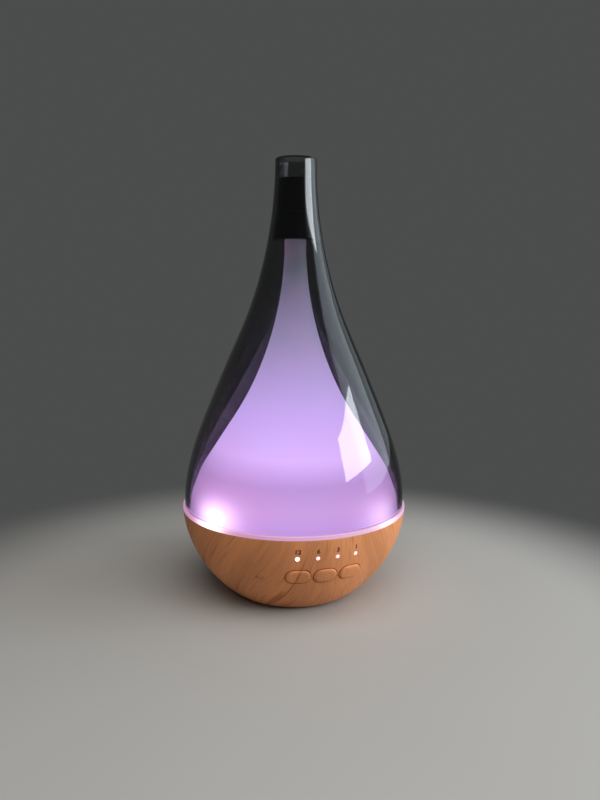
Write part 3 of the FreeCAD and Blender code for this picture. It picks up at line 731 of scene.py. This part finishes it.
class DIFFUSER_OT_mist_maker(bpy.types.Operator):
    """Makes the ultrasonic disc, its gasket, retainer and screws"""
    bl_idname = "diffuser.mist_maker"
    bl_label = "Mist Maker"

    def execute(self, context):
        disc = metal("Turned disc steel", (0.62, 0.60, 0.56), 0.24, tuple(centre_of("ultrasonic_disc")))
        silicone = moulded("Clear silicone", (0.62, 0.62, 0.60), 0.5, 700.0, 0.05)
        plate = metal("Stamped plate", (0.52, 0.52, 0.51), 0.36)
        zinc = metal("Zinc screw", (0.42, 0.42, 0.43), 0.30)
        copies("base", ("vibrating_disc", "ultrasonic_disc", disc, "disc_steel"),
               ("disc_seal", "disc_gasket", silicone, "silicone"),
               ("disc_clamp", "disc_retainer", plate, "plate_steel"),
               ("clamp_screws", "retainer_screws", zinc, "screw_steel"))
        return {"FINISHED"}


class DIFFUSER_OT_bowl(bpy.types.Operator):
    """Makes the wood-grain bowl with its key openings, light holes and socket pocket"""
    bl_idname = "diffuser.bowl"
    bl_label = "Bowl"

    def execute(self, context):
        sizes = context.scene.diffuser_sizes
        shell = self.shell(sizes.bowl_wall)
        jack = centre_of("dc_jack")
        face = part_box("dc_jack")[1].y
        boss_wall, boss_depth, pocket_depth, round_steps = 1.2 * MM, 4 * MM, 8 * MM, 64
        boss = rod(SOCKET_RADIUS + boss_wall, face - boss_depth, 60 * MM, 0.0, jack.z, round_steps)
        core = bowl_core(BOWL_FLOOR + 0.2 * MM, jack.z + 9 * MM, 0.4 * MM, 24)
        shell = carved(shell, [carved(boss, [core], "INTERSECT")], "UNION")
        cutters = [rod(SOCKET_RADIUS, face - pocket_depth, BEYOND, 0.0, jack.z, round_steps)]
        flare, inside = 0.25 * MM, -40 * MM
        around = 2 * (sizes.key_gap + flare)
        rings = [(flare, 0.0), (flare, -0.5 * MM), (0.3 * flare, -0.15 * MM), (0.0, 0.0), (0.0, 3.0 * MM)]
        for _, _, x, z in key_places():
            cutters.append(bowl_capsule(sizes.key_width + around, sizes.key_height + around, x, z, rings,
                                        inside))
        for number in (1, 2, 3, 4):
            light = centre_of(f"light_pipe_{number}")
            cutters.append(rod(sizes.lens_radius + 0.1 * MM, -BEYOND, inside, light.x, light.z, 24))
        piece("wood_bowl", carved(shell, cutters), wood_print(context.scene.diffuser_colours),
              "base", "wood_print", "base_shell", sharp=30.0)
        return {"FINISHED"}

    def shell(self, wall):
        """The bowl itself, with a ledge for the bottom cover."""
        opening, ledge, edge = 31.8 * MM, 29.6 * MM, 0.25 * MM
        ledge_low, ledge_top = BOWL_FLOOR + 2 * MM, BOWL_FLOOR + 3.8 * MM
        rows_out, rows_in = 44, 24
        outside, inside = [], []
        for row in range(rows_out + 1):
            height = BOWL_FLOOR + (BOWL_MOUTH - BOWL_FLOOR) * (row / rows_out)
            outside.append(Vector((bowl_reach(height), 0, height)))
        for row in range(rows_in, -1, -1):
            height = ledge_top + (BOWL_MOUTH - ledge_top) * (row / rows_in)
            inside.append(Vector((bowl_reach(height, wall), 0, height)))
        heel = rounded(outside[0], Vector((opening, 0, BOWL_FLOOR)), outside[1], edge)
        lip = rounded(outside[-1], outside[-2], inside[0], edge)
        floor = outline([(ledge, ledge_top), (ledge, ledge_low), (opening, ledge_low), (opening, BOWL_FLOOR)])
        return turned(heel + outside[1:-1] + lip + inside + floor)


class DIFFUSER_OT_keys(bpy.types.Operator):
    """Makes the three capsule keys, each with its lip and stem"""
    bl_idname = "diffuser.keys"
    bl_label = "Keys"

    def execute(self, context):
        sizes = context.scene.diffuser_sizes
        wood = bpy.data.materials["Printed wood grain"]
        for number, body, x, z in key_places():
            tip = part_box(f"switch_plunger_{number}")[0].y
            front = pillow(sizes.key_height, sizes.key_proud, 1.6 * MM, 0.8 * MM)
            cap = bowl_capsule(sizes.key_width, sizes.key_height, x, z, front, tip - 0.9 * MM)
            lip = capsule_prism(sizes.key_width + 2 * KEY_LIP, sizes.key_height + 2 * KEY_LIP, x, z,
                                tip - 1.1 * MM, tip - 0.3 * MM)
            core = bowl_core(z - 8 * MM, z + 8 * MM, sizes.bowl_wall + 0.2 * MM, 12)
            stem = rod(1.8 * MM, tip - 4 * MM, tip, x, z, 32)
            piece(f"key_cap_{number}", join(cap, carved(lip, [core], "INTERSECT"), stem), wood, body,
                  "wood_print", f"button_{number}", sharp=40.0)
        return {"FINISHED"}


class DIFFUSER_OT_indicators(bpy.types.Operator):
    """Makes the four indicator lenses and the printed numerals above them"""
    bl_idname = "diffuser.indicators"
    bl_label = "Indicators"

    def execute(self, context):
        sizes = context.scene.diffuser_sizes
        radius = sizes.lens_radius
        lit = lit_lens("Bright indicator lens", (1.0, 0.93, 1.0), 3.4)
        dim = lit_lens("Pink indicator lens", (1.0, 0.60, 0.64), 1.0)
        ink = moulded("Printed marks", tuple(context.scene.diffuser_colours.mark), 0.5, 1800.0, 0.02)
        for number, text in enumerate(("12", "6", "3", "1"), 1):
            light = centre_of(f"light_pipe_{number}")
            seat = on_bowl(light.x, light.z)
            tilt = Vector((seat.x, seat.y, 0)).normalized()
            dome = outline([(0.0, -3 * MM), (radius * 0.92, -3 * MM), (radius, -0.4 * MM),
                            (radius, 0.0, 0.2 * MM), (radius * 0.62, 0.26 * MM), (0.0, 0.36 * MM)])
            head = turned(dome, 32)
            turn = Vector((0, 0, 1)).rotation_difference(tilt).to_matrix().to_4x4()
            bmesh.ops.transform(head, matrix=Matrix.Translation(seat) @ turn, verts=head.verts)
            shank = rod(radius * 0.9, seat.y + 2.4 * MM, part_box(f"light_pipe_{number}")[1].y,
                        light.x, light.z, 24)
            piece(f"indicator_lens_{number}", join(head, shank), lit if number == 1 else dim, "base",
                  "clear_lens", f"light_pipe_{number}")
            self.mark(number, text, light.x, light.z + 3.6 * MM, sizes.mark_height, ink)
        return {"FINISHED"}

    def mark(self, number, text, x, z, height, ink):
        """Numerals that lie on the bowl above an indicator."""
        size_per_height = 1.38
        words = bpy.data.curves.new(f"numeral {number}", "FONT")
        words.body = text
        words.size = height * size_per_height
        words.align_x, words.align_y = "CENTER", "CENTER"
        words.resolution_u = 4
        words.extrude = 0.06 * MM
        words.offset = 0.11 * MM
        holder = bpy.data.objects.new(words.name, words)
        bpy.context.scene.collection.objects.link(holder)
        shown = holder.evaluated_get(bpy.context.evaluated_depsgraph_get())
        bm = bmesh.new()
        bm.from_mesh(bpy.data.meshes.new_from_object(shown))
        bpy.data.objects.remove(holder)
        bmesh.ops.remove_doubles(bm, verts=bm.verts, dist=1e-6)
        for vert in bm.verts:
            vert.co = on_bowl(x + vert.co.x, z + vert.co.y, vert.co.z)
        bmesh.ops.recalc_face_normals(bm, faces=bm.faces)
        piece(f"printed_numeral_{number}", bm, ink, "base", "wood_print", sharp=30.0)


class DIFFUSER_OT_underside(bpy.types.Operator):
    """Makes the bottom cover with its grille, the case screws and the rubber feet"""
    bl_idname = "diffuser.underside"
    bl_label = "Underside"

    def execute(self, context):
        plastic = tuple(context.scene.diffuser_colours.plastic)
        brown = moulded("Brown base plastic", plastic, 0.5, 1300.0, 0.1)
        zinc = metal("Zinc case screw", (0.40, 0.40, 0.42), 0.32)
        copies("base", ("grille_cover", "bottom_cover", brown, "base_plastic"),
               ("base_screws", "case_screws", zinc, "screw_steel"))
        rubber = moulded("Black foot rubber", (0.022, 0.022, 0.022), 0.72, 1100.0, 0.1, 0.3)
        radius = context.scene.diffuser_sizes.foot_radius
        for number in (1, 2, 3, 4):
            low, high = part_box(f"rubber_foot_{number}")
            line = outline([(0.0, 0.25 * MM), (1.3 * MM, 0.25 * MM), (1.5 * MM, low.z, 0.1 * MM),
                            (2.2 * MM, low.z, 0.1 * MM), (2.4 * MM, 0.25 * MM), (2.9 * MM, 0.25 * MM),
                            (3.1 * MM, low.z, 0.1 * MM), (radius, low.z, 0.5 * MM), (radius, high.z),
                            (0.0, high.z)])
            pad = turned(line, 64)
            bmesh.ops.translate(pad, verts=pad.verts, vec=((low.x + high.x) / 2, (low.y + high.y) / 2, 0))
            piece(f"foot_pad_{number}", pad, rubber, "base", "foot_rubber", f"rubber_foot_{number}")
        return {"FINISHED"}


class DIFFUSER_OT_fan(bpy.types.Operator):
    """Makes the fan's frame, winding and bladed rotor"""
    bl_idname = "diffuser.fan"
    bl_label = "Fan"

    def execute(self, context):
        black = moulded("Fan plastic", (0.018, 0.018, 0.020), 0.4, 800.0, 0.05)
        rotor = moulded("Rotor plastic", (0.03, 0.03, 0.033), 0.34, 900.0, 0.04)
        copies("base", ("fan_housing", "fan_frame", black, "fan_plastic"),
               ("fan_winding", "fan_stator", copper_winding(), "copper"))
        copies("fan", ("fan_blades", "fan_rotor", rotor, "fan_plastic"))
        return {"FINISHED"}


class DIFFUSER_OT_electronics(bpy.types.Operator):
    """Makes the boards, their parts, the switches and the lamps under the rim"""
    bl_idname = "diffuser.electronics"
    bl_label = "Electronics"

    def execute(self, context):
        board = green_board()
        black = moulded("Component black", (0.02, 0.02, 0.02), 0.35, 1500.0, 0.04)
        zinc = bpy.data.materials["Zinc screw"]
        white = lit_lens("White lamp package", (1.0, 0.62, 0.95), 2.0)
        small = lit_lens("Small indicator lamp", (1.0, 0.85, 0.92), 1.2)
        rows = [("driver_board", "main_board", board, "circuit_board"),
                ("driver_components", "board_parts", black, "component_black"),
                ("driver_screws", "board_screws", zinc, "screw_steel"),
                ("lamp_ring", "led_ring_board", board, "circuit_board"),
                ("key_board", "control_board", board, "circuit_board"),
                ("key_board_lamps", "indicator_leds", small, "led_lens")]
        for number in (1, 2, 3):
            rows.append((f"rim_lamp_{number}", f"ring_led_{number}", white, "led_lens"))
            rows.append((f"key_switch_{number}", f"switch_body_{number}", black, "component_black"))
        copies("base", *rows)
        for number, side in enumerate(SIDES, 1):
            copies(f"key_{side}",
                   (f"key_plunger_{number}", f"switch_plunger_{number}", black, "component_black"))
        return {"FINISHED"}


class DIFFUSER_OT_power_socket(bpy.types.Operator):
    """Makes the power socket at the back, with its centre pin"""
    bl_idname = "diffuser.power_socket"
    bl_label = "Power Socket"

    def execute(self, context):
        black = moulded("Socket plastic", (0.016, 0.016, 0.016), 0.4)
        plated = metal("Plated contact", (0.75, 0.70, 0.58), 0.2)
        copies("base", ("socket_housing", "dc_jack", black, "socket_plastic"),
               ("socket_pin", "jack_pin", plated, "contact_metal"))
        return {"FINISHED"}


class DIFFUSER_OT_stage(bpy.types.Operator):
    """Sets the pale floor, the soft lights and the camera"""
    bl_idname = "diffuser.stage"
    bl_label = "Stage"

    def execute(self, context):
        scene = context.scene
        stage, colours = scene.diffuser_stage, scene.diffuser_colours
        scene.view_settings.view_transform = "Standard"

        world = bpy.data.worlds.new("Plain surroundings")
        world.use_nodes = True
        world.node_tree.nodes["Background"].inputs["Color"].default_value = (*colours.backdrop, 1)
        scene.world = world

        bm = bmesh.new()
        bmesh.ops.create_circle(bm, cap_ends=True, segments=96, radius=1.2)
        mesh = bpy.data.meshes.new("floor")
        bm.to_mesh(mesh)
        bm.free()
        floor = bpy.data.objects.new("floor", mesh)
        scene.collection.objects.link(floor)
        mesh.materials.append(self.floor_finish(colours))

        cool, sky, neutral, warm = (0.90, 0.97, 1.0), (0.78, 0.91, 1.0), (1.0, 0.98, 0.96), (1.0, 0.95, 0.89)
        side = stage.side_power
        for name, place, size, power, shade, mirrored in (
                ("window", (0.755, -0.49, 0.37), (0.62, 0.30), stage.window_power, cool, True),
                ("side panel", (0.99, -0.10, 0.45), (0.90, 0.78), side, sky, True),
                ("side wash", (1.05, 0.09, 0.45), (1.30, 0.80), side / 2, sky, True),
                ("key", (0.80, -0.40, 0.65), (0.5, 0.5), stage.key_power, neutral, False),
                ("overhead", (0.0, -0.45, 0.85), (0.9, 0.9), stage.fill_power, warm, False)):
            self.soft_light(name, place, size, power, shade, mirrored)

        camera = bpy.data.cameras.new("camera")
        camera.lens = stage.lens
        camera.sensor_width = 36.0
        holder = bpy.data.objects.new("camera", camera)
        scene.collection.objects.link(holder)
        turn = stage.camera_turn
        holder.location = (stage.camera_distance * math.sin(turn), -stage.camera_distance * math.cos(turn),
                           stage.camera_height)
        pan, dip, roll = (math.radians(angle) for angle in (-0.455, -8.89, 0.395))
        holder.matrix_world = (Matrix.Translation(holder.location) @ Matrix.Rotation(turn + pan, 4, "Z")
                               @ Matrix.Rotation(math.pi / 2 + dip, 4, "X") @ Matrix.Rotation(roll, 4, "Z"))
        scene.camera = holder
        return {"FINISHED"}

    def floor_finish(self, colours):
        """Pale near the object, and the colour of the surroundings further away."""
        finish = Finish("Pale floor")
        tone = finish.mix(finish.noise(6.0), tuple(colours.floor), scaled(colours.floor, 0.94))
        pale = finish.surface({"Base Color": tone, "Roughness": 0.6})
        plain = finish.add("ShaderNodeEmission", {"Color": solid(tuple(colours.backdrop))}).outputs[0]
        away = finish.distance((-0.014, -0.048, 0.0))
        return finish.done(finish.add("ShaderNodeMixShader", {
            0: finish.fade(away, 0.15, 0.27), 1: pale, 2: plain}).outputs[0])

    def soft_light(self, name, place, size, power, shade, mirrored):
        """A rectangular light aimed at the object; mirrored ones show in the glass."""
        light = bpy.data.lights.new(name, "AREA")
        light.shape = "RECTANGLE"
        light.size, light.size_y = size
        light.energy = power
        light.color = shade
        holder = bpy.data.objects.new(name, light)
        bpy.context.scene.collection.objects.link(holder)
        aim = Vector((0, 0, place[2] if mirrored else 0.08)) - Vector(place)
        holder.matrix_world = Matrix.Translation(place) @ aim.to_track_quat("-Z", "Y").to_matrix().to_4x4()
        holder.visible_glossy = mirrored
        holder.visible_transmission = mirrored


class DIFFUSER_PT_panel(bpy.types.Panel):
    """Lists the diffuser's pieces and its sizes, colours and stage"""
    bl_idname = "DIFFUSER_PT_panel"
    bl_label = "Teardrop Glass Diffuser"
    bl_space_type = "VIEW_3D"
    bl_region_type = "UI"
    bl_category = "Diffuser"

    def draw(self, context):
        for operator in OPERATORS:
            self.layout.operator(operator.bl_idname)
        for group in (context.scene.diffuser_sizes, context.scene.diffuser_colours,
                      context.scene.diffuser_stage):
            box = self.layout.box()
            for name in group.__annotations__:
                box.prop(group, name)


OPERATORS = (DIFFUSER_OT_stage, DIFFUSER_OT_glass_cover, DIFFUSER_OT_inner_cover, DIFFUSER_OT_mist_nozzle,
             DIFFUSER_OT_water_tank, DIFFUSER_OT_mist_maker, DIFFUSER_OT_bowl, DIFFUSER_OT_keys,
             DIFFUSER_OT_indicators, DIFFUSER_OT_underside, DIFFUSER_OT_fan, DIFFUSER_OT_electronics,
             DIFFUSER_OT_power_socket)
GROUPS = {"diffuser_sizes": DiffuserSizes, "diffuser_colours": DiffuserColours,
          "diffuser_stage": DiffuserStage}


def register():
    for name, group in GROUPS.items():
        bpy.utils.register_class(group)
        setattr(bpy.types.Scene, name, PointerProperty(type=group))
    for operator in OPERATORS:
        bpy.utils.register_class(operator)
    bpy.utils.register_class(DIFFUSER_PT_panel)


def unregister():
    bpy.utils.unregister_class(DIFFUSER_PT_panel)
    for operator in reversed(OPERATORS):
        bpy.utils.unregister_class(operator)
    for name, group in reversed(GROUPS.items()):
        delattr(bpy.types.Scene, name)
        bpy.utils.unregister_class(group)


def main():
    register()
    for operator in OPERATORS:
        family, action = operator.bl_idname.split(".")
        getattr(getattr(bpy.ops, family), action)()


if __name__ == "__main__":
    main()
